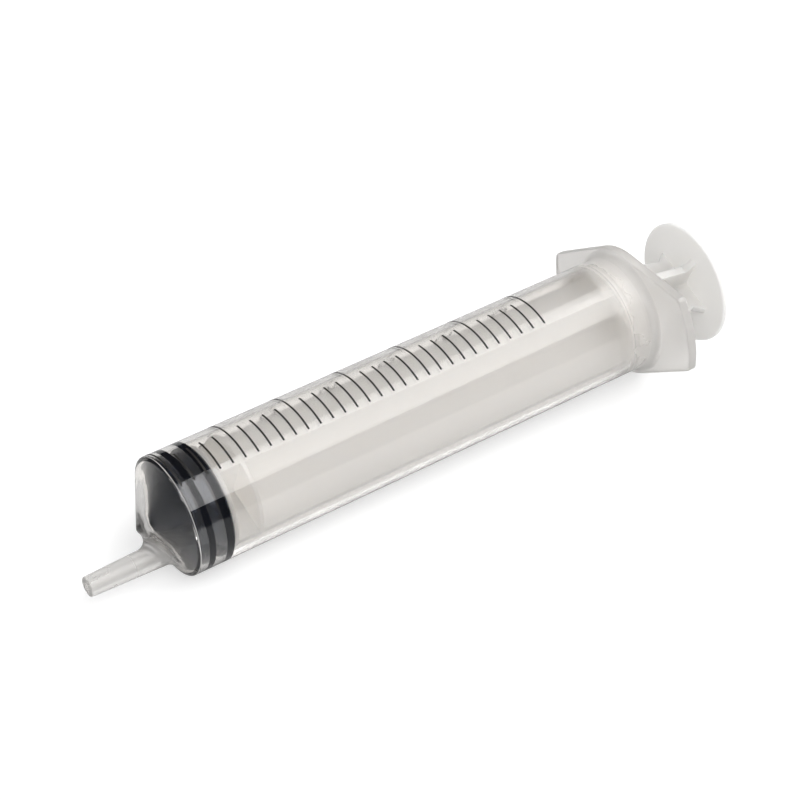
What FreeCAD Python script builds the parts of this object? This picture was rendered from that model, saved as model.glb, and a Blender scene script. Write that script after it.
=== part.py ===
import FreeCAD
import Part
import math
import os

# A disposable thirty millilitre syringe with an off-centre slip nozzle, lying as it
# rests on a table with its plunger pushed fully in.
#
# It has three pieces: the barrel, moulded in one with its nozzle and finger flange,
# the rubber stopper, and the plunger rod, whose head snaps into the stopper.
# The origin is the centre of the nozzle's mouth. +X runs from the nozzle to the thumb
# disc and +Z is up. All sizes are in millimetres.
#
# Every piece is first drawn with the nozzle straight below the barrel's axis. The whole
# is then rolled until the flat flank of one flange wing lies on the table.

# The nozzle is a plain six per cent taper that a needle hub slips on to
nozzle_tip_radius = 1.985
nozzle_length = 15.4
nozzle_taper = 0.06
nozzle_offset = 6.4
nozzle_bore_radius = 0.8
passage_funnel = 0.8
nozzle_root_round = 1.9
nozzle_tip_round = 0.3

# The barrel's tube and its coned front end
bore_radius = 10.85
barrel_wall = 1.03
tube_length = 107.2
outer_cone_angle = 29.0
inner_cone_angle = 22.0
cone_wall = 2.4
shoulder_round = 0.4
apex_round = 1.2

# The finger flange, with the flare that joins it to the tube
flange_thickness = 2.05
flange_waist = 13.5
flange_reach = 21.5
flange_flank_angle = 18.0
flange_corner_round = 1.3
flange_edge_round = 0.35
flare_length = 2.25
flare_height = 1.3
mouth_chamfer = 0.6

# The bead inside the open end that keeps the stopper in
bead_height = 0.35
bead_width = 1.3
bead_inset = 6.7

# The stopper: a coned front, two sealing rings and a socket for the rod's head
seat_gap = 0.5
seal_clearance = 0.06
stopper_cone_angle = 23.0
stopper_tip_round = 0.8
rim_clearance = 0.25
rim_land = 0.3
lip_length = 1.35
lip_depth = 0.25
front_ring_width = 1.4
groove_width = 2.2
groove_depth = 0.8
rear_ring_width = 1.8
stopper_tail_length = 0.3
stopper_tail_step = 0.35
ring_corner = 0.2
stopper_crown = 3.8
head_tip_gap = 0.3
socket_lip = 2.0

# The snap head on the front of the rod
head_radius = 6.0
neck_radius = 4.6
head_clearance = 0.08
head_end_gap = 0.1
head_round = 0.5

# The rod: four fins, three guide discs and the thumb disc
rod_clearance = 0.25
fin_thickness = 1.5
fin_root_round = 0.9
fin_inset = 0.1
front_disc_thickness = 1.0
second_disc_thickness = 0.9
second_disc_pitch = 5.4
rear_disc_thickness = 1.3
rear_disc_inset = 2.0
disc_edge_round = 0.25
fin_roll = 38.8
fin_waist_radius = 6.1
fin_flare_radius = 7.7
fin_flare_length = 2.1
thumb_gap = 14.2
thumb_radius = 12.7
thumb_thickness = 1.1
thumb_edge_round = 0.35
thumb_dish_radius = 11.2
thumb_dish_depth = 0.2

# Slopes of the cones, in millimetres along the axis for each millimetre of radius
outer_slope = math.tan(math.radians(outer_cone_angle))
inner_slope = math.tan(math.radians(inner_cone_angle))
stopper_slope = math.tan(math.radians(stopper_cone_angle))

# Radii that follow from the bore
tube_radius = bore_radius + barrel_wall
bead_radius = bore_radius - bead_height
ring_radius = bore_radius - seal_clearance
rim_radius = bore_radius - rim_clearance
disc_radius = bead_radius - rod_clearance
fin_radius = disc_radius - fin_inset

# Places along the axis, from the nozzle's mouth
outer_apex_x = nozzle_length - outer_slope * nozzle_offset
shoulder_x = outer_apex_x + outer_slope * tube_radius
inner_apex_x = outer_apex_x + cone_wall
bore_start_x = inner_apex_x + inner_slope * bore_radius
open_end_x = shoulder_x + tube_length
flange_front_x = open_end_x - flange_thickness
bead_x = open_end_x - bead_inset

stopper_apex_x = inner_apex_x + seat_gap
rim_x = stopper_apex_x + stopper_slope * rim_radius
front_ring_x = rim_x + lip_length
groove_x = front_ring_x + front_ring_width
rear_ring_x = groove_x + groove_width
tail_x = rear_ring_x + rear_ring_width
stopper_back_x = tail_x + stopper_tail_length
socket_apex_x = stopper_apex_x + stopper_crown
socket_back_x = stopper_back_x - socket_lip

head_back_x = socket_back_x - head_end_gap
front_disc_x = stopper_back_x + head_end_gap
second_disc_x = front_disc_x + second_disc_pitch
rear_disc_x = open_end_x - rear_disc_inset - rear_disc_thickness
thumb_x = open_end_x + thumb_gap
thumb_back_x = thumb_x + thumb_thickness

axis_x = FreeCAD.Vector(1, 0, 0)
origin = FreeCAD.Vector(0, 0, 0)


def at(x, r):
    """A point of a half section: x along the axis, r out from it."""
    return FreeCAD.Vector(x, 0, r)


def straight(a, b):
    return Part.LineSegment(a, b).toShape()


def through(a, b, c):
    """An arc from a to c by way of b."""
    return Part.Arc(a, b, c).toShape()


def turned(edges):
    """The solid that a closed half section makes when it is turned about the axis."""
    return Part.Face(Part.Wire(edges)).revolve(origin, axis_x, 360)


def polygon_turned(points):
    """A turned solid whose half section has straight sides only."""
    edges = [straight(a, b) for a, b in zip(points, points[1:] + points[:1])]
    return turned(edges)


def disc(x, thickness, radius, edge_round):
    """A round plate across the axis with both of its rims rounded."""
    plate = Part.makeCylinder(radius, thickness, at(x, 0), axis_x)
    rims = [edge for edge in plate.Edges if edge.Curve.TypeId == "Part::GeomCircle"]
    return plate.makeFillet(edge_round, rims)


def cone_nose(apex_x, angle, tip_round):
    """Front point, a middle point and the tangent point of a cone's rounded tip."""
    alpha = math.radians(angle)
    centre_x = apex_x + tip_round / math.cos(alpha)
    front = at(centre_x - tip_round, 0)
    middle = at(centre_x - tip_round * math.cos(alpha / 2), tip_round * math.sin(alpha / 2))
    tangent = at(centre_x - tip_round * math.cos(alpha), tip_round * math.sin(alpha))
    return front, middle, tangent


def rounded_corner(apex_x, angle, radius, corner_round):
    """Three points of the arc that rounds a cone over into a cylinder."""
    alpha = math.radians(angle)
    centre_r = radius - corner_round
    centre_x = apex_x + centre_r * math.tan(alpha) + corner_round / math.cos(alpha)
    points = []
    for turn in (alpha, (alpha + math.pi / 2) / 2, math.pi / 2):
        points.append(at(centre_x - corner_round * math.cos(turn), centre_r + corner_round * math.sin(turn)))
    return points


def barrel_outside():
    """The tube with its coned front and the flare that runs into the flange."""
    tip, tip_middle, tip_end = cone_nose(outer_apex_x, outer_cone_angle, apex_round)
    turn_in, turn_middle, turn_out = rounded_corner(outer_apex_x, outer_cone_angle, tube_radius, shoulder_round)
    flare_start = at(flange_front_x - flare_length, tube_radius)
    flare_end = at(flange_front_x, tube_radius + flare_height)
    flare_radius = (flare_length ** 2 + flare_height ** 2) / (2 * flare_height)
    half_turn = math.asin(flare_length / flare_radius) / 2
    flare_middle = at(flare_start.x + flare_radius * math.sin(half_turn),
                      tube_radius + flare_radius * (1 - math.cos(half_turn)))
    back = at(open_end_x, tube_radius + flare_height)
    centre_back = at(open_end_x, 0)
    return turned([
        through(tip, tip_middle, tip_end),
        straight(tip_end, turn_in),
        through(turn_in, turn_middle, turn_out),
        straight(turn_out, flare_start),
        through(flare_start, flare_middle, flare_end),
        straight(flare_end, back),
        straight(back, centre_back),
        straight(centre_back, tip),
    ])


def flange_plate():
    """The flange: an arc above and below, straight flanks, and rounded wing tips."""
    flank = math.radians(flange_flank_angle)
    touch = math.pi / 2 - flank
    # a flank starts where it is tangent to the waist's circle and ends on the tip's circle
    start = (flange_waist * math.cos(touch), flange_waist * math.sin(touch))
    run = math.sqrt(flange_reach ** 2 - flange_waist ** 2)
    end = (start[0] + run * math.cos(flank), start[1] - run * math.sin(flank))

    def spot(y, z):
        return FreeCAD.Vector(flange_front_x, y, z)

    edges = [
        through(spot(-start[0], start[1]), spot(0, flange_waist), spot(*start)),
        straight(spot(*start), spot(*end)),
        through(spot(*end), spot(flange_reach, 0), spot(end[0], -end[1])),
        straight(spot(end[0], -end[1]), spot(start[0], -start[1])),
        through(spot(start[0], -start[1]), spot(0, -flange_waist), spot(-start[0], -start[1])),
        straight(spot(-start[0], -start[1]), spot(-end[0], -end[1])),
        through(spot(-end[0], -end[1]), spot(-flange_reach, 0), spot(-end[0], end[1])),
        straight(spot(-end[0], end[1]), spot(-start[0], start[1])),
    ]
    plate = Part.Face(Part.Wire(edges)).extrude(axis_x * flange_thickness)
    corners = []
    for edge in plate.Edges:
        ends = [vertex.Point for vertex in edge.Vertexes]
        runs_along = len(ends) == 2 and abs(ends[0].x - ends[1].x) > flange_thickness / 2
        if runs_along and math.hypot(ends[0].y, ends[0].z) > (flange_waist + flange_reach) / 2:
            corners.append(edge)
    plate = plate.makeFillet(flange_corner_round, corners)
    rims = [edge for edge in plate.Edges if edge.BoundBox.XLength < flange_thickness / 2]
    return plate.makeFillet(flange_edge_round, rims)


def nozzle_outside():
    """The tapered nozzle, run on into the coned front that it grows out of."""
    depth = nozzle_length + outer_slope * tube_radius
    root_radius = nozzle_tip_radius + depth * nozzle_taper / 2
    nozzle = Part.makeCone(nozzle_tip_radius, root_radius, depth, at(0, -nozzle_offset), axis_x)
    mouth = [edge for edge in nozzle.Edges if edge.BoundBox.XMax < nozzle_length / 2]
    return nozzle.makeFillet(nozzle_tip_round, mouth)


def barrel_inside():
    """The space inside the barrel: cone, bore, retaining bead and chamfered mouth."""
    bead_start = bead_x - bead_width / 2
    bead_end = bead_x + bead_width / 2
    past_end = open_end_x + mouth_chamfer
    apex = at(inner_apex_x, 0)
    corner = at(bore_start_x, bore_radius)
    before_bead = at(bead_start, bore_radius)
    bead_top = at(bead_x, bead_radius)
    after_bead = at(bead_end, bore_radius)
    mouth_start = at(open_end_x - mouth_chamfer, bore_radius)
    mouth_end = at(past_end, bore_radius + 2 * mouth_chamfer)
    centre = at(past_end, 0)
    return turned([
        straight(apex, corner),
        straight(corner, before_bead),
        through(before_bead, bead_top, after_bead),
        straight(after_bead, mouth_start),
        straight(mouth_start, mouth_end),
        straight(mouth_end, centre),
        straight(centre, apex),
    ])


def round_nozzle_root(shell):
    """Round the edge where the nozzle grows out of the coned front."""
    root = []
    for edge in shell.Edges:
        middle = edge.valueAt((edge.FirstParameter + edge.LastParameter) / 2)
        from_nozzle = math.hypot(middle.y, middle.z + nozzle_offset)
        near = nozzle_tip_radius * 1.5 > from_nozzle > nozzle_tip_radius
        if near and nozzle_length / 2 < middle.x < shoulder_x + cone_wall:
            root.append(edge)
    return shell.makeFillet(nozzle_root_round, root)


def nozzle_passage():
    """The bore through the nozzle, widening where it opens into the inner cone."""
    opening_x = inner_apex_x + inner_slope * nozzle_offset
    funnel_x = opening_x - passage_funnel
    funnel_end_x = opening_x + passage_funnel
    passage = Part.makeCylinder(nozzle_bore_radius, funnel_end_x, at(0, -nozzle_offset), axis_x)
    funnel = Part.makeCone(nozzle_bore_radius, nozzle_bore_radius + 2 * passage_funnel, 2 * passage_funnel,
                           at(funnel_x, -nozzle_offset), axis_x)
    return passage.fuse(funnel)


def barrel():
    shell = barrel_outside().fuse(nozzle_outside()).removeSplitter()
    shell = round_nozzle_root(shell)
    shell = shell.fuse(flange_plate()).removeSplitter()
    return shell.cut(barrel_inside().fuse(nozzle_passage()))


def stopper():
    """The rubber stopper as it sits in the bore, with the socket in its back."""
    tip, tip_middle, tip_end = cone_nose(stopper_apex_x, stopper_cone_angle, stopper_tip_round)
    lip_radius = rim_radius - lip_depth
    groove_radius = ring_radius - groove_depth
    tail_radius = ring_radius - stopper_tail_step
    corner = ring_corner
    mouth_radius = neck_radius + head_clearance
    socket_radius = head_radius + head_clearance
    socket_front_x = socket_apex_x + stopper_slope * socket_radius
    side = [
        tip_end,
        at(rim_x, rim_radius),
        at(rim_x + rim_land, rim_radius),
        at(rim_x + rim_land + corner, lip_radius),
        at(front_ring_x - corner, lip_radius),
        at(front_ring_x, ring_radius),
        at(groove_x - corner, ring_radius),
        at(groove_x + corner, groove_radius),
        at(rear_ring_x - corner, groove_radius),
        at(rear_ring_x + corner, ring_radius),
        at(tail_x, ring_radius),
        at(stopper_back_x, tail_radius),
        at(stopper_back_x, mouth_radius),
        at(socket_back_x, mouth_radius),
        at(socket_back_x, socket_radius),
        at(socket_front_x, socket_radius),
        at(socket_apex_x, 0),
        tip,
    ]
    edges = [through(tip, tip_middle, tip_end)]
    edges += [straight(a, b) for a, b in zip(side, side[1:])]
    return turned(edges)


def snap_head():
    """The coned button and neck that hold the stopper on the rod."""
    head_apex_x = socket_apex_x + head_tip_gap
    head_front_x = head_apex_x + stopper_slope * head_radius
    return polygon_turned([
        at(head_apex_x, 0),
        at(head_front_x, head_radius),
        at(head_back_x - head_round, head_radius),
        at(head_back_x, head_radius - head_round),
        at(head_back_x, neck_radius),
        at(front_disc_x + front_disc_thickness / 2, neck_radius),
        at(front_disc_x + front_disc_thickness / 2, 0),
    ])


def cross_section():
    """The rod's cross: two crossed fins with a round in each inner corner."""
    half = fin_thickness / 2
    bend = half + fin_root_round
    middle = bend - fin_root_round * math.sqrt(0.5)
    reach = fin_radius + thumb_thickness
    x = front_disc_x
    edges = []
    for quarter in range(4):
        turn = math.radians(90 * quarter)

        def spot(y, z):
            return FreeCAD.Vector(x, y * math.cos(turn) - z * math.sin(turn), y * math.sin(turn) + z * math.cos(turn))

        edges += [
            straight(spot(half, reach), spot(half, bend)),
            through(spot(half, bend), spot(middle, middle), spot(bend, half)),
            straight(spot(bend, half), spot(reach, half)),
            straight(spot(reach, half), spot(reach, -half)),
        ]
    return Part.Face(Part.Wire(Part.sortEdges(edges)[0]))


def fins():
    """The cross drawn out along the rod and trimmed to the fins' outline."""
    start_x = front_disc_x + front_disc_thickness / 2
    end_x = thumb_x + thumb_thickness / 2
    drawn = cross_section().extrude(axis_x * (end_x - front_disc_x))
    outline = polygon_turned([
        at(start_x, 0),
        at(start_x, fin_radius),
        at(rear_disc_x + rear_disc_thickness, fin_radius),
        at(thumb_x - fin_flare_length, fin_waist_radius),
        at(thumb_x, fin_flare_radius),
        at(end_x, fin_flare_radius),
        at(end_x, 0),
    ])
    return drawn.common(outline)


def thumb_disc():
    """The thumb disc, with a shallow dish in its back."""
    plate = disc(thumb_x, thumb_thickness, thumb_radius, thumb_edge_round)
    dish = Part.makeCone(thumb_dish_radius - thumb_dish_depth, thumb_dish_radius, thumb_dish_depth,
                         at(thumb_back_x - thumb_dish_depth, 0), axis_x)
    return plate.cut(dish)


def plunger_rod():
    rod = fins()
    rod = rod.fuse([
        snap_head(),
        disc(front_disc_x, front_disc_thickness, disc_radius, disc_edge_round),
        disc(second_disc_x, second_disc_thickness, disc_radius, disc_edge_round),
        disc(rear_disc_x, rear_disc_thickness, disc_radius, disc_edge_round),
        thumb_disc(),
    ])
    rod = rod.removeSplitter()
    return rod.rotated(origin, axis_x, fin_roll)


def placed(shape):
    """Lift a piece from the barrel's axis to the nozzle's, then roll it on to its flank."""
    lifted = shape.translated(FreeCAD.Vector(0, 0, nozzle_offset))
    return lifted.rotated(origin, axis_x, -flange_flank_angle)


def main():
    os.makedirs("parts", exist_ok=True)
    pieces = {"barrel": barrel(), "stopper": stopper(), "plunger_rod": plunger_rod()}
    for name, shape in pieces.items():
        solid = shape.Solids[0]
        lying = placed(solid)
        lying.exportStep("parts/" + name + ".step")
        print(name, "solids", len(shape.Solids), "valid", solid.isValid(), "volume", round(solid.Volume, 2))
    travel = bead_x - bead_width / 2 - tail_x - seat_gap
    print("plunger travel", round(travel, 2), "whole length", round(thumb_back_x, 2))
    print("barrel outside radius", round(tube_radius, 3), "flange front at", round(flange_front_x, 2))


main()
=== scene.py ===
# %% [markdown]
# # A thirty millilitre slip syringe
#
# This lesson dresses a syringe that was built as solids in CAD. The syringe has three
# pieces: a clear barrel with its nozzle and finger flange, a black rubber stopper, and
# a milky plunger rod. The solids fix every size, so the work here is the finish: clear
# plastic that bends light, rubber that touches it, and ink on its outside.
#
# The first cell brings the solids in. Nothing is moved after that.

# %% Bring in the solids
import math

import bmesh
import bpy
from mathutils import Matrix, Vector


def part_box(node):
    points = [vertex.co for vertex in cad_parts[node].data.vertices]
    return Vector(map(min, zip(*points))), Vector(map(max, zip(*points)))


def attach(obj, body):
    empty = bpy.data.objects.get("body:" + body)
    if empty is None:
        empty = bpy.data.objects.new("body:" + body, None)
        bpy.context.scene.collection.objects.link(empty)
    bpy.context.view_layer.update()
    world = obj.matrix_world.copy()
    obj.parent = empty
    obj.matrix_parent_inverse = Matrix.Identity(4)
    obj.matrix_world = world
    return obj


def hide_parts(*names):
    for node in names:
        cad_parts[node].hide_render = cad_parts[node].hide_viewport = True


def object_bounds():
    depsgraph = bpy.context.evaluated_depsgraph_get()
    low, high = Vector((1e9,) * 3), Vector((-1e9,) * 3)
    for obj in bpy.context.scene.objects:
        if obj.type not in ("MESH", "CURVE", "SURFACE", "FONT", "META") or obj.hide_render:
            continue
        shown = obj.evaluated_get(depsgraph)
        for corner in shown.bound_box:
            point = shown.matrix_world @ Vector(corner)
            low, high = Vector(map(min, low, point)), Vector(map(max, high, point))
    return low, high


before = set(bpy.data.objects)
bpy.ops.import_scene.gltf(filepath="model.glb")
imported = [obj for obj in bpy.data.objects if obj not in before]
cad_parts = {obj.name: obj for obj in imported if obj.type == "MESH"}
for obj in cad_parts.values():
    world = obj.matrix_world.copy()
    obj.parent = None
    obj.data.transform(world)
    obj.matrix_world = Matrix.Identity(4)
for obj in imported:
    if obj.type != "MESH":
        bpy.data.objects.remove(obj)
cad_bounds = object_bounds()
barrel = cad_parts["barrel"]
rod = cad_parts["plunger_rod"]
print("pieces:", sorted(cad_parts))

# %% [markdown]
# ## Where things are
#
# The nozzle sits off-centre and the syringe has rolled on to one edge of its flange, so
# the barrel's axis doesn't pass through the origin, which is the nozzle's mouth.
# Everything printed or turned round the barrel needs that axis. It could be typed in,
# but then it would be wrong after any change to the solids. It is worked out from them
# instead: the thumb disc is round, and the middle of its box is on the axis.

# %% The barrel's axis
MM = 0.001
rod_low, rod_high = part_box("plunger_rod")
axis_y = (rod_low.y + rod_high.y) / 2
axis_z = (rod_low.z + rod_high.z) / 2
print("axis at y %.3f mm, z %.3f mm" % (axis_y / MM, axis_z / MM))


# %% A point beside the axis
def beside_axis(x, radius, turn):
    """A point x along the barrel; turn is in radians from straight up towards the camera."""
    y = axis_y - radius * math.sin(turn)
    z = axis_z + radius * math.cos(turn)
    return Vector((x, y, z))


print("top of a 10 mm circle at x 0:", [round(v / MM, 2) for v in beside_axis(0, 10 * MM, 0)])

# %% [markdown]
# ## A short way to wire nodes
#
# Finishes in Blender are made by joining small nodes, and so are some changes to a
# shape. Written out in full, each node takes several lines. The helper below adds a
# node, fills its inputs in the order they stand in, and gives back one output, so a sum
# made of nodes reads almost like a sum.


# %% Add and join a node
def step(tree, kind, *values, out=0, **settings):
    """Add a node, fill or connect its inputs in order, and return one of its outputs."""
    node = tree.nodes.new(kind)
    for name, setting in settings.items():
        setattr(node, name, setting)
    open_inputs = [socket for socket in node.inputs if socket.enabled]
    for socket, value in zip(open_inputs, values):
        if isinstance(value, bpy.types.NodeSocket):
            tree.links.new(value, socket)
        else:
            socket.default_value = value
    return node.outputs[out]


# %% Sums on numbers and on vectors
def number(tree, operation, first, second):
    """One sum on two numbers."""
    return step(tree, "ShaderNodeMath", first, second, operation=operation)


def vector(tree, operation, *values, out=0):
    """One sum on vectors."""
    return step(tree, "ShaderNodeVectorMath", *values, operation=operation, out=out)


# %% [markdown]
# ## Masks
#
# One moulding can be polished in one place and frosted in another. Cutting it into
# pieces would be one way to give it two finishes, but the real one is in one piece and
# the cut would show. A mask is softer: it is a number that is one where a finish
# belongs and nought elsewhere, worked out from where a point is.


# %% Tests that make a mask
def beyond(tree, value, limit):
    """One where value is more than limit, else nought."""
    return number(tree, "GREATER_THAN", value, limit)


def within(tree, value, limit):
    """One where value is less than limit, else nought."""
    return number(tree, "LESS_THAN", value, limit)


def between(tree, value, low, high):
    """One where value lies between low and high, else nought."""
    return number(tree, "MULTIPLY", beyond(tree, value, low), within(tree, value, high))


def faded(tree, value, near, far):
    """One below near, nought above far, and a ramp between the two."""
    return step(tree, "ShaderNodeMapRange", value, near, far, 1.0, 0.0)


# %% Distance from an axis
def aside(tree, place, axis_at):
    """The part of a place that points straight away from an axis along X."""
    return vector(tree, "MULTIPLY", vector(tree, "SUBTRACT", place, axis_at), (0, 1, 1))


def length(tree, way):
    """How long a vector is."""
    return vector(tree, "LENGTH", way, out="Value")


# %% [markdown]
# ## A helper for finishes
#
# Every finish below is one Principled shader with a few nodes that vary its roughness
# and push its surface about very slightly. Moulded plastic is never perfectly even:
# a little unevenness in the gloss is what makes it read as a real moulding. A number
# that is the same all over the piece is typed into the shader's own socket.


# %% Start a finish
def new_finish(name, **sockets):
    """A material with a Principled shader; sockets are its fixed values."""
    material = bpy.data.materials.new(name)
    material.use_nodes = True
    shader = material.node_tree.nodes["Principled BSDF"]
    for socket, value in sockets.items():
        shader.inputs[socket.replace("_", " ")].default_value = value
    print("finish:", name)
    return material, shader


# %% Uneven gloss and surface
noise_detail = 3
noise_low, noise_high = 0.3, 0.7  # noise seldom leaves this span


def uneven(material, shader, size, gloss, height):
    """Noise of a size (mm) moves roughness between the two of gloss, and a bump (mm)."""
    tree = material.node_tree
    place = step(tree, "ShaderNodeTexCoord", out="Object")
    noise = step(tree, "ShaderNodeTexNoise", place, 1 / (size * MM), noise_detail)
    roughness = step(tree, "ShaderNodeMapRange", noise, noise_low, noise_high, *gloss)
    tree.links.new(roughness, shader.inputs["Roughness"])
    bump = tree.nodes.new("ShaderNodeBump")
    bump.inputs["Distance"].default_value = height * MM
    tree.links.new(noise, bump.inputs["Height"])
    tree.links.new(bump.outputs["Normal"], shader.inputs["Normal"])


# %% A value that changes along the barrel
ramp_length = 150  # mm, a little more than the syringe


def by_place(tree, along, stops):
    """A value that follows stops, which are pairs of x (mm) and value."""
    share = number(tree, "DIVIDE", along, ramp_length * MM)
    ramp = tree.nodes.new("ShaderNodeValToRGB")
    points = ramp.color_ramp.elements
    while len(points) < len(stops):
        points.new(0.5)
    for point, (x, value) in zip(points, stops):
        point.position = x / ramp_length
        point.color = (value, value, value, 1)
    tree.links.new(share, ramp.inputs["Fac"])
    return ramp.outputs["Color"]


# %% A colour between two colours
def tinted(tree, share, plain, tint):
    """A colour that goes from plain to tint as share goes from nought to one."""
    return step(tree, "ShaderNodeMix", share, plain, tint, data_type="RGBA", out=2)


# %% [markdown]
# ## The clear barrel
#
# The barrel is moulded from polypropylene, which is clear but faintly milky. A sheet of
# glass would be the usual stand-in, but it looks too crisp. Here most of the shader
# lets light through, with the plastic's own refractive index, and a small share stays
# as plain scatter, which gives the haze. The wall has both its surfaces, so the
# renderer bends light at each one and the edges darken by themselves.
#
# A real mould isn't polished all over. The front of the tube and the cone are the
# clearest, so that the liquid can be read. The long tube has a fine haze, and the
# flange and the nozzle are left duller. The first masks say which part is which.

# %% Places on the barrel
clear_plastic, shader = new_finish("clear_polypropylene", IOR=1.49)
tree = clear_plastic.node_tree
place = step(tree, "ShaderNodeTexCoord", out="Object")
along = step(tree, "ShaderNodeSeparateXYZ", place, out="X")
from_axis = length(tree, aside(tree, place, (0, axis_y, axis_z)))
from_nozzle = length(tree, aside(tree, place, (0, 0, 0)))

nozzle_end = 11.8 * MM
cone_end = 18.6 * MM
bead_start = 117.9 * MM
flange_start = 122.0 * MM

# %% [markdown]
# The inside of the cone is a little less polished than its outside, and the root of the
# nozzle is a thick lump of plastic. If that were perfectly clear it would act as a lens
# and show a jumble of everything behind it, so it is frosted and a little milky, and
# the cone's very tip is frosted with it. So is the small bead inside the open end,
# which a mould can't polish.
#
# The cone's inside and outside could be told apart by hand, face by face. A sum is
# quicker: the middle of the wall is a straight line that climbs with the distance from
# the axis, and whatever lies beyond that line is the inside.

# %% Masks for the cone, the root, the tip, the bead and the corner
mid_wall_angle = math.radians(25.5)
mid_wall_start = 13.05 * MM
climb = number(tree, "MULTIPLY", from_axis, math.tan(mid_wall_angle))
mid_wall = number(tree, "ADD", climb, mid_wall_start)
inside_cone = number(tree, "MULTIPLY", beyond(tree, along, mid_wall), within(tree, along, cone_end))

on_root = number(tree, "MULTIPLY", faded(tree, from_nozzle, 3.6 * MM, 4.8 * MM),
                 within(tree, along, 17.0 * MM))
on_tip = number(tree, "MULTIPLY", faded(tree, from_axis, 1.6 * MM, 3.4 * MM),
                within(tree, along, 14.0 * MM))
on_bead = number(tree, "MULTIPLY", within(tree, from_axis, 11.2 * MM),
                 beyond(tree, along, bead_start))
on_corner = number(tree, "MULTIPLY", beyond(tree, from_axis, 11.6 * MM),
                   between(tree, along, 18.44 * MM, 18.56 * MM))

# %% How rough the barrel is
cone_frost, root_frost, bead_frost = 0.04, 0.25, 0.5
frosted = number(tree, "MAXIMUM", number(tree, "MULTIPLY", inside_cone, cone_frost),
                 number(tree, "MULTIPLY", number(tree, "MAXIMUM", on_root, on_tip), root_frost))
frosted = number(tree, "MAXIMUM", frosted, number(tree, "MULTIPLY", on_bead, bead_frost))

smoothest = by_place(tree, along, [(9, 0.2), (12, 0.02), (27, 0.02), (32, 0.07),
                                   (114, 0.07), (118, 0.2), (124, 0.3)])
roughest = by_place(tree, along, [(9, 0.3), (12, 0.04), (27, 0.04), (32, 0.12),
                                  (114, 0.12), (118, 0.3), (124, 0.4)])
gloss = (number(tree, "MAXIMUM", smoothest, frosted), number(tree, "MAXIMUM", roughest, frosted))
uneven(clear_plastic, shader, 6.0, gloss, 0.001)

# %% [markdown]
# How much light goes through is one number, the transmission weight. It falls from
# almost one at the front to under three quarters at the flange. The root and the bead
# scatter more. The sharp corner where the cone meets the tube is made milky too, as a
# painted highlight: on the real syringe that corner shows as a fine pale line of light
# carried along inside the wall.

# %% How clear the barrel is
# The corner's milk is a painted highlight, for light carried along inside the wall.
root_milk, painted_highlight_milk, bead_milk = 0.3, 0.45, 0.45
clearness = by_place(tree, along, [(9, 0.9), (12, 0.997), (26, 0.997), (29, 0.93),
                                   (114, 0.93), (118, 0.8), (124, 0.72)])
milk = number(tree, "MULTIPLY", on_root, root_milk)
milk = number(tree, "MAXIMUM", milk, number(tree, "MULTIPLY", on_corner, painted_highlight_milk))
milk = number(tree, "MAXIMUM", milk, number(tree, "MULTIPLY", on_bead, bead_milk))
tree.links.new(number(tree, "SUBTRACT", clearness, milk), shader.inputs["Transmission Weight"])

# %% The barrel's faint warmth
clear_tint = (0.985, 0.966, 0.942, 1)
thick_tint = (0.84, 0.825, 0.805, 1)
flange_share = 0.8
thick = number(tree, "MAXIMUM", on_root, within(tree, along, nozzle_end))
on_flange = number(tree, "MULTIPLY", beyond(tree, along, flange_start), flange_share)
thick = number(tree, "MAXIMUM", thick, on_flange)
tree.links.new(tinted(tree, thick, clear_tint, thick_tint), shader.inputs["Base Color"])
print("barrel finish:", len(tree.nodes), "nodes")

# %% [markdown]
# ## The milky rod
#
# The rod is the same plastic without the clearing agent, so light soaks into it and
# comes out again nearby, but no image gets through. Blurred transmission would be one
# way to show that, but it leaves thin fins looking grey. Subsurface scattering is made
# for it: light may wander four millimetres inside the plastic before it leaves.
#
# Seen through the barrel the rod looks paler than it does in the open, because the
# hazy wall round it spreads light on to it from all sides. That takes more bounces
# than a render can afford, so that light is painted into the rod's colour instead,
# wherever it is seen through clear plastic. A Light Path node knows how many surfaces
# the light has gone through. In the open the thumb disc is painted paler than the
# shaft, for the light that falls on both its faces.

# %% The rod's finish
milky_plastic, shader = new_finish("milky_polypropylene", Subsurface_Weight=1.0,
                                   Subsurface_Radius=(1.0, 0.97, 0.93),
                                   Subsurface_Scale=0.004, IOR=1.49)
uneven(milky_plastic, shader, 2.5, (0.45, 0.55), 0.006)

# %% The rod's colour, bare, with painted light on the disc and behind the wall
shaft_colour = (0.61, 0.6, 0.583, 1)
# Painted light: the disc is paler than the shaft for the light that falls on both its faces.
disc_colour_with_painted_light = (0.8, 0.787, 0.765, 1)
# Painted light: behind the clear wall the rod is lifted for light that the hazy wall spreads.
painted_light_behind_wall = (0.975, 0.957, 0.93, 1)
tree = milky_plastic.node_tree
place = step(tree, "ShaderNodeTexCoord", out="Object")
along = step(tree, "ShaderNodeSeparateXYZ", place, out="X")
at_disc = by_place(tree, along, [(136, 0.0), (140, 1.0)])
bare_colour = tinted(tree, at_disc, shaft_colour, disc_colour_with_painted_light)
walls = step(tree, "ShaderNodeLightPath", out="Transmission Depth")
behind_wall = beyond(tree, walls, 0.5)
rod_colour = tinted(tree, behind_wall, bare_colour, painted_light_behind_wall)
tree.links.new(rod_colour, shader.inputs["Base Color"])
print("rod finish:", len(tree.nodes), "nodes")


# %% Dress the two mouldings
def dress(piece, material):
    """Give a solid from the CAD model one material."""
    piece.data.materials.clear()
    piece.data.materials.append(material)
    print(piece.name, "has", len(piece.data.polygons), "faces")


dress(barrel, clear_plastic)
dress(rod, milky_plastic)

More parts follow.
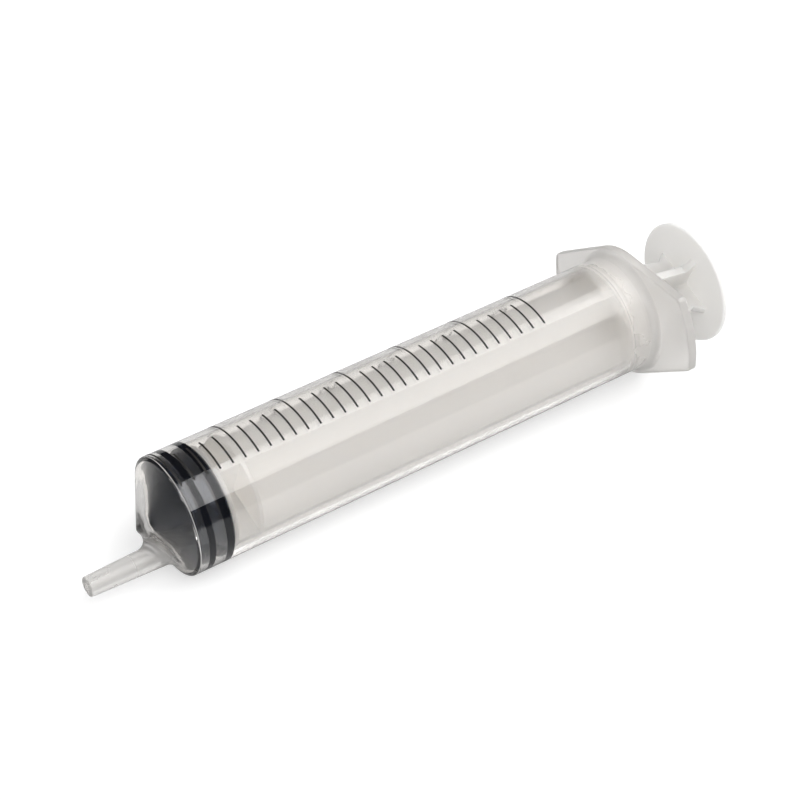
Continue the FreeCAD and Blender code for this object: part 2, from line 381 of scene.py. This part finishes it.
# %% [markdown]
# ## True shading on the clear barrel
#
# The barrel's mesh is made of flat facets, and each corner carries a shading direction
# that is only an average of the facets beside it. On a painted piece nobody would see
# that. On a clear one the light bends at every face, and small errors show as broken
# streaks. A finer mesh would help, but the solid's mesh has to stay as it is.
#
# The tube, its cone and its bore are all turned about one axis and the nozzle about
# another, so the true direction never leans sideways round its axis. A few geometry
# nodes take the sideways part out, and leave the facets where they are.


# %% A direction with its sideways part taken out
def without_lean(tree, direction, away):
    """Remove from a direction what leans round an axis along X; away points from the axis."""
    around = vector(tree, "CROSS_PRODUCT", (1, 0, 0), vector(tree, "NORMALIZE", away))
    lean = vector(tree, "DOT_PRODUCT", direction, around, out="Value")
    sideways = vector(tree, "SCALE", around, lean)
    return vector(tree, "NORMALIZE", vector(tree, "SUBTRACT", direction, sideways))


# %% Which axis a point belongs to
nozzle_round = 11.5 * MM  # up to here the nozzle is round
tube_round = 123.4 * MM  # up to here the tube's outside is round
root_radius = 4.0 * MM
mouth_radius = 11.6 * MM


def on_the_tube(tree, along, from_axis, from_nozzle):
    """One on the tube, the cone and the bore; nought on the nozzle's root and the wings."""
    off_root = number(tree, "MAXIMUM", beyond(tree, along, cone_end),
                      beyond(tree, from_nozzle, root_radius))
    off_wings = number(tree, "MAXIMUM", within(tree, along, tube_round),
                       within(tree, from_axis, mouth_radius))
    return number(tree, "MULTIPLY", off_root, off_wings)


# %% Straighten the barrel's shading
def true_shading(piece):
    """Add a modifier that sets each corner's shading direction and moves nothing."""
    tree = bpy.data.node_groups.new("true_shading", "GeometryNodeTree")
    for way in ("INPUT", "OUTPUT"):
        tree.interface.new_socket("Mesh", in_out=way, socket_type="NodeSocketGeometry")
    place = step(tree, "GeometryNodeInputPosition")
    direction = step(tree, "GeometryNodeInputNormal")
    along = step(tree, "ShaderNodeSeparateXYZ", place, out="X")
    from_tube = aside(tree, place, (0, axis_y, axis_z))
    from_nozzle = aside(tree, place, (0, 0, 0))
    on_tube = on_the_tube(tree, along, length(tree, from_tube), length(tree, from_nozzle))
    on_nozzle = within(tree, along, nozzle_round)
    chosen = step(tree, "GeometryNodeSwitch", on_tube, direction,
                  without_lean(tree, direction, from_tube), input_type="VECTOR")
    chosen = step(tree, "GeometryNodeSwitch", on_nozzle, chosen,
                  without_lean(tree, direction, from_nozzle), input_type="VECTOR")
    shaded = tree.nodes.new("GeometryNodeSetMeshNormal")
    shaded.mode = "FREE"
    shaded.domain = "CORNER"
    tree.links.new(tree.nodes.new("NodeGroupInput").outputs[0], shaded.inputs["Mesh"])
    tree.links.new(chosen, shaded.inputs["Custom Normal"])
    tree.links.new(shaded.outputs[0], tree.nodes.new("NodeGroupOutput").inputs[0])
    modifier = piece.modifiers.new("true_shading", "NODES")
    modifier.node_group = tree
    print(piece.name, "shading straightened by", len(tree.nodes), "nodes")


true_shading(barrel)

# %% [markdown]
# ## The rubber stopper
#
# In the CAD model the stopper stands clear of the bore, because two solids may not
# overlap there. Real rubber is squeezed flat against the wall, and where it touches
# there is no air left to mirror light, so the two sealing rings look deep black right
# out to the tube's edge. The stopper is turned again here from its half section, with
# the rings a hair wider than the bore, and takes the place of the CAD solid.
#
# It needs two finishes. The free rubber is smooth, lightly oiled and mirrors the room
# with a bluish cast. The rubber pressed on the wall mirrors nothing.

# %% The rubber's two finishes
free_rubber, shader = new_finish("black_rubber", Base_Color=(0.005, 0.010, 0.024, 1),
                                 Specular_Tint=(0.76, 0.84, 1.0, 1), IOR=1.52)
uneven(free_rubber, shader, 0.8, (0.12, 0.2), 0.002)
pressed_rubber, shader = new_finish("rubber_on_wall", Base_Color=(0.004, 0.005, 0.010, 1),
                                    Specular_IOR_Level=0.0)
uneven(pressed_rubber, shader, 0.8, (0.4, 0.5), 0.0)

# %% The stopper's main sizes, in mm along the axis and from it
bore_radius = 10.85
wall_radius = bore_radius + 0.01
rim_radius = 10.6
groove_radius = 9.99
neck_radius = 4.68
socket_radius = 6.08
stopper_apex = 14.7523
stopper_slope = math.tan(math.radians(23))
rim = stopper_apex + stopper_slope * rim_radius
front_ring = rim + 1.35
groove = front_ring + 1.4
rear_ring = groove + 2.2
tail = rear_ring + 1.8
back = tail + 0.3
socket_lip = 2.0
crown = stopper_apex + 3.8
print("stopper is %.1f mm long" % (back - stopper_apex))

# %% The stopper's half section
# Each point is x and radius; True starts a stretch that lies on the wall.
section = [
    (stopper_apex + 0.07, 0.0, False),
    (stopper_apex + 0.1, 0.2, False),
    (stopper_apex + 0.2, 0.45, False),
    (rim - 0.06, 10.46, False),
    (rim, 10.58, False),
    (rim + 0.1, 10.62, False),
    (rim + 0.25, rim_radius, False),
    (rim + 0.5, 10.37, False),
    (rim + 1.1, 10.37, False),
    (front_ring - 0.05, 10.7, False),
    (front_ring + 0.03, wall_radius, True),
    (groove - 0.05, wall_radius, False),
    (groove + 0.05, 10.7, False),
    (groove + 0.2, 10.05, False),
    (groove + 0.4, groove_radius, False),
    (rear_ring - 0.2, groove_radius, False),
    (rear_ring, 10.05, False),
    (rear_ring + 0.05, 10.7, False),
    (rear_ring + 0.13, wall_radius, True),
    (tail - 0.15, wall_radius, False),
    (tail, 10.75, False),
    (back, 10.44, False),
    (back, neck_radius, False),
    (back - socket_lip, neck_radius, False),
    (back - socket_lip, socket_radius, False),
    (crown + stopper_slope * socket_radius, socket_radius, False),
    (crown, 0.0, False),
]
print("half section:", len(section), "points")

# %% [markdown]
# Turning a half section about an axis is what a lathe does. Blender's Screw modifier
# does it too, but the two finishes would then have to be painted on by hand. Here the
# rings of points are joined in a loop, so each face knows which stretch it came from.


# %% Make an object of loose faces
def finished_piece(name, bm, materials):
    """Turn a bmesh into an object in the scene."""
    bmesh.ops.recalc_face_normals(bm, faces=bm.faces)
    mesh = bpy.data.meshes.new(name)
    bm.to_mesh(mesh)
    bm.free()
    for material in materials:
        mesh.materials.append(material)
    piece = bpy.data.objects.new(name, mesh)
    bpy.context.scene.collection.objects.link(piece)
    print(name, "has", len(mesh.polygons), "faces")
    return piece


# %% Rings of points about the axis
def point_rings(bm, points, steps):
    """One ring of points for each place in the section, or a single point on the axis."""
    rings = []
    for x, radius, _ in points:
        turns = [2 * math.pi * k / steps for k in range(steps)] if radius else [0]
        rings.append([bm.verts.new(beside_axis(x * MM, radius * MM, turn)) for turn in turns])
    return rings


# %% Turn a section about the barrel's axis
def turned_piece(name, points, materials, steps=160):
    """Revolve points (x, radius, on_wall) into a closed piece with two finishes."""
    bm = bmesh.new()
    rings = point_rings(bm, points, steps)
    for index, (low, high) in enumerate(zip(rings, rings[1:])):
        for k in range(steps):
            after = (k + 1) % steps
            corners = [low[k % len(low)], low[after % len(low)],
                       high[after % len(high)], high[k % len(high)]]
            face = bm.faces.new(dict.fromkeys(corners))
            face.material_index = 1 if points[index][2] else 0
    piece = finished_piece(name, bm, materials)
    piece.data.shade_smooth()
    piece.data.set_sharp_from_angle(angle=math.radians(35))
    return piece


# %% Put the stopper in
stopper = turned_piece("rubber_stopper", section, [free_rubber, pressed_rubber])
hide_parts("stopper")
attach(stopper, "stopper")

# %% [markdown]
# ## The printed scale
#
# The scale is screen-printed ink on the outside of the tube: thirty-one fine lines, one
# for each millilitre, with every fifth line longer. A texture could carry it, but ink
# has an edge and a thickness, and real lines stay sharp at any distance. Each line is
# therefore a thin curved pad that starts just inside the wall's surface and stands a
# hundredth of a millimetre proud of it.

# %% The ink
ink, shader = new_finish("printing_ink", Base_Color=(0.018, 0.016, 0.014, 1))
uneven(ink, shader, 0.3, (0.45, 0.6), 0.002)

# %% One curved pad
tube_radius = 11.88
ink_under = (tube_radius - 0.01) * MM
ink_over = (tube_radius + 0.012) * MM
degrees_per_step = 2


def add_pad(bm, x, width, turn_from, turn_to):
    """Add a closed strip of ink that runs round the tube between two angles (degrees)."""
    count = max(3, round(abs(turn_to - turn_from) / degrees_per_step))
    low, high = (x - width / 2) * MM, (x + width / 2) * MM
    outline = ((low, ink_under), (high, ink_under), (high, ink_over), (low, ink_over))
    rows = []
    for k in range(count + 1):
        turn = math.radians(turn_from + (turn_to - turn_from) * k / count)
        rows.append([bm.verts.new(beside_axis(a, r, turn)) for a, r in outline])
    for near, far in zip(rows, rows[1:]):
        for k in range(4):
            bm.faces.new([near[k], near[(k + 1) % 4], far[(k + 1) % 4], far[k]])
    bm.faces.new(rows[0][::-1])
    bm.faces.new(rows[-1])


# %% The thirty-one lines
# Places and widths are in mm, and where a line starts and ends is in degrees.
zero_line = 19.4
per_millilitre = 2.704
capacity = 30
long_every = 5
line_end = 24.7
short_start = -12.7
long_start = -59.3
line_width = 0.39

lines_bm = bmesh.new()
for millilitre in range(capacity + 1):
    start = short_start if millilitre % long_every else long_start
    add_pad(lines_bm, zero_line + per_millilitre * millilitre, line_width, start, line_end)
scale_lines = finished_piece("scale_lines", lines_bm, [ink])
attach(scale_lines, "barrel")
print("the scale is", round(capacity * per_millilitre, 1), "mm long")

# %% [markdown]
# ## The scale's numbers
#
# The numbers stand past the far ends of the long lines, round the back of the tube.
# Text in Blender is flat, so each number is made as text, turned into a mesh, cut into
# short pieces so that it can bend, and then wrapped round the tube point by point. A
# shrinkwrap modifier could bend it as well, but it would flatten the ink's thickness.

# %% A flat number
number_size = 5.67  # mm, of which a figure's height is about three quarters
ink_half_thickness = 0.011  # mm


def flat_number(value):
    """A number as a flat mesh, centred on the origin."""
    curve = bpy.data.curves.new("number", "FONT")
    curve.body = str(value)
    curve.size = number_size * MM
    curve.align_x = "CENTER"
    curve.align_y = "CENTER"
    curve.extrude = ink_half_thickness * MM
    text = bpy.data.objects.new("number", curve)
    bpy.context.scene.collection.objects.link(text)
    bpy.context.view_layer.update()
    shown = text.evaluated_get(bpy.context.evaluated_depsgraph_get())
    mesh = bpy.data.meshes.new_from_object(shown)
    bpy.data.objects.remove(text)
    return mesh


# %% A number wrapped round the tube
number_turn = -78.0  # degrees
longest_edge = 0.6  # mm
number_lift = 0.001  # mm


def add_number(bm_all, value):
    """Wrap a number round the tube, centred on its scale line, and add it to the rest."""
    mesh = flat_number(value)
    bm = bmesh.new()
    bm.from_mesh(mesh)
    bmesh.ops.triangulate(bm, faces=bm.faces)
    long_edges = [edge for edge in bm.edges if edge.calc_length() > longest_edge * MM]
    bmesh.ops.subdivide_edges(bm, edges=long_edges, cuts=2)
    x = (zero_line + per_millilitre * value) * MM
    for vert in bm.verts:
        along, across, up = vert.co
        turn = math.radians(number_turn) + along / (tube_radius * MM)
        vert.co = beside_axis(x + across, (tube_radius + number_lift) * MM + up, turn)
    bm.to_mesh(mesh)
    bm.free()
    bm_all.from_mesh(mesh)
    bpy.data.meshes.remove(mesh)


# %% The six numbers
numbers_bm = bmesh.new()
for value in range(long_every, capacity + 1, long_every):
    add_number(numbers_bm, value)
numbers_mesh = bpy.data.meshes.new("scale_numbers")
numbers_bm.to_mesh(numbers_mesh)
numbers_bm.free()
numbers_mesh.materials.append(ink)
scale_numbers = bpy.data.objects.new("scale_numbers", numbers_mesh)
bpy.context.scene.collection.objects.link(scale_numbers)
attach(scale_numbers, "barrel")
print("numbers:", len(numbers_mesh.polygons), "faces")

# %% [markdown]
# ## The table
#
# The syringe lies on a white table on the tip of one flange wing and the front edge of
# the tube, so the table's plane goes through both. A bright lamp would make the table
# white, but it would bleach the syringe too. Its white comes from its own colour plus a
# little glow that only straight sight and clear plastic see, so the object gets no
# extra light from it and its shadow stays. In front of the nozzle the paint is dark and
# the glow makes up for it: straight sight finds white there, but the rubber's cone
# mirrors only the dark paint and stays black.

# %% The table's paint
table_paint, shader = new_finish("table_paint")
uneven(table_paint, shader, 3.0, (0.8, 0.9), 0.0)
tree = table_paint.node_tree
place = step(tree, "ShaderNodeTexCoord", out="Object")
along = step(tree, "ShaderNodeSeparateXYZ", place, out="X")
across = step(tree, "ShaderNodeSeparateXYZ", place, out="Y")
fade_start, fade_end = -25 * MM, 10 * MM
front_paint, back_paint = 0.08, 0.55


def front_to_back(tree, along, front, back):
    """A value that changes along the table, from in front of the nozzle to beside the tube."""
    return step(tree, "ShaderNodeMapRange", along, fade_start, fade_end, front, back,
                interpolation_type="SMOOTHSTEP")


paint = front_to_back(tree, along, front_paint, back_paint)
tree.links.new(paint, shader.inputs["Base Color"])

# %% [markdown]
# The Light Path node counts what the light has met on its way from the camera. Light
# that has bounced nowhere sees the full glow. The tube's lower side is the brightest
# part of the real syringe, because light from the table runs along inside its wall. A
# second, weaker glow stands for it: only light that is inside the wall sees it, beside
# the tube and behind the stopper.


# %% What the light has met
def met(tree, what):
    """How often the light has met something, such as Glossy Depth."""
    return step(tree, "ShaderNodeLightPath", out=what)


def inside_wall(tree):
    """One for light that has gone through one to three surfaces of clear plastic."""
    return between(tree, met(tree, "Transmission Depth"), 0.5, 3.5)


# %% The table's glow
front_glow, back_glow, wall_glow = 0.95, 0.55, 0.78
bounces = number(tree, "ADD", met(tree, "Glossy Depth"), met(tree, "Diffuse Depth"))
glow = number(tree, "MULTIPLY", within(tree, bounces, 0.5),
              front_to_back(tree, along, front_glow, back_glow))
beside_tube = number(tree, "MULTIPLY", beyond(tree, along, 28 * MM),
                     within(tree, across, axis_y + 15 * MM))
no_scatter = within(tree, met(tree, "Diffuse Depth"), 0.5)
through_wall = number(tree, "MULTIPLY",
                      number(tree, "MULTIPLY", inside_wall(tree), beside_tube),
                      number(tree, "MULTIPLY", no_scatter, wall_glow))
tree.links.new(number(tree, "MAXIMUM", glow, through_wall), shader.inputs["Emission Strength"])
shader.inputs["Emission Color"].default_value = (1, 1, 1, 1)
print("table paint:", len(tree.nodes), "nodes")

# %% The table's plane
wing_x, wing_z = 124.5 * MM, cad_bounds[0].z
front_x, front_z = 20.0 * MM, axis_z - tube_radius * MM
slope = (wing_z - front_z) / (wing_x - front_x)
half = 4.0  # metres
table_mesh = bpy.data.meshes.new("table")
corners = [(x, y, front_z + slope * (x - front_x))
           for x, y in ((-half, -half), (half, -half), (half, half), (-half, half))]
table_mesh.from_pydata(corners, [], [(0, 1, 2, 3)])
table_mesh.materials.append(table_paint)
table = bpy.data.objects.new("table", table_mesh)
bpy.context.scene.collection.objects.link(table)
print("table slopes %.2f degrees" % math.degrees(math.atan(slope)))

# %% [markdown]
# ## The light
#
# One large soft lamp hangs over the camera's side. It gives the pale patch on the
# stopper and the soft shine along the tube, and it is wide, so its shadow is faint. A
# small lamp would give a hard spark on every edge of the plastic.

# %% The soft lamp
middle = Vector((70 * MM, axis_y, axis_z))


def aimed(place, target):
    """A matrix at place that looks at target."""
    turn = (target - place).normalized().to_track_quat("-Z", "Y")
    return Matrix.Translation(place) @ turn.to_matrix().to_4x4()


def soft_lamp(name, direction, distance, width, height, power):
    """A wide flat lamp that looks at the syringe's middle from a direction."""
    data = bpy.data.lights.new(name, "AREA")
    data.shape = "RECTANGLE"
    data.size = width
    data.size_y = height
    data.energy = power
    lamp = bpy.data.objects.new(name, data)
    bpy.context.scene.collection.objects.link(lamp)
    lamp.matrix_world = aimed(middle + Vector(direction).normalized() * distance, middle)
    print(name, "radiance", round(power / (math.pi * width * height), 2))


soft_lamp("key_lamp", (0.30, -0.42, 0.86), distance=0.9, width=1.5, height=0.75, power=9.8)

# %% [markdown]
# ## The room
#
# The room fills in what the lamp leaves. It could be one even white, but then the black
# rubber would mirror it and turn grey. So the room has a strength for each use: full
# white where it is seen straight, dimmer where it lights a plain surface, half where it
# is mirrored inside the barrel's wall, which gives the tube its soft streaks, and
# almost nothing in any other mirror.

# %% The room's strengths
seen_straight, on_plain, mirrored_in_wall, mirrored_elsewhere = 1.0, 0.66, 0.5, 0.03
world = bpy.data.worlds.new("room")
bpy.context.scene.world = world
world.use_nodes = True
tree = world.node_tree
background = tree.nodes["Background"]
background.inputs["Color"].default_value = (1, 1, 1, 1)


def choose(tree, test, when_zero, when_one):
    """when_one where test is one or more, when_zero where it is nought."""
    return step(tree, "ShaderNodeMapRange", test, 0.0, 1.0, when_zero, when_one)


mirrored = choose(tree, inside_wall(tree), mirrored_elsewhere, mirrored_in_wall)
unscattered = choose(tree, met(tree, "Glossy Depth"), seen_straight, mirrored)
strength = choose(tree, met(tree, "Diffuse Depth"), unscattered, on_plain)
tree.links.new(strength, background.inputs["Strength"])
print("room:", len(tree.nodes), "nodes")

# %% [markdown]
# ## The camera
#
# The camera was found from the printed scale and the tube's outline: it looks down at
# about forty degrees from the nozzle's end, through a long lens. A camera could be
# aimed by eye, but these numbers come from a sum, so they are typed in: where it
# stands, which way it looks and which way its right side points.

# %% The camera
camera_data = bpy.data.cameras.new("camera")
camera_data.sensor_width = 36.0
camera_data.lens = 111.43
camera = bpy.data.objects.new("camera", camera_data)
bpy.context.scene.collection.objects.link(camera)
stand = Vector((-0.13147, -0.29534, 0.31592))
right = Vector((0.8245, -0.5659, -0.0069)).normalized()
sight_line = Vector((0.4264, 0.6292, -0.6498)).normalized()
right = (right - sight_line * right.dot(sight_line)).normalized()
up = right.cross(sight_line)
turned = Matrix((right, up, -sight_line)).transposed()
camera.matrix_world = Matrix.Translation(stand) @ turned.to_4x4()
bpy.context.scene.camera = camera
print("camera %.0f mm from the middle" % ((stand - middle).length / MM))

# %% [markdown]
# ## How far light is followed
#
# Light that reaches the rod goes in and out of two walls, and light in the nozzle goes
# through many more. With too few bounces those places turn black, and with too many
# the render only gets slower.

# %% Bounces and colour
bpy.context.scene.cycles.max_bounces = 16
bpy.context.scene.cycles.glossy_bounces = 10
bpy.context.scene.cycles.transmission_bounces = 16
bpy.context.scene.cycles.diffuse_bounces = 6
bpy.context.scene.view_settings.view_transform = "Standard"
print("bounces:", bpy.context.scene.cycles.max_bounces)
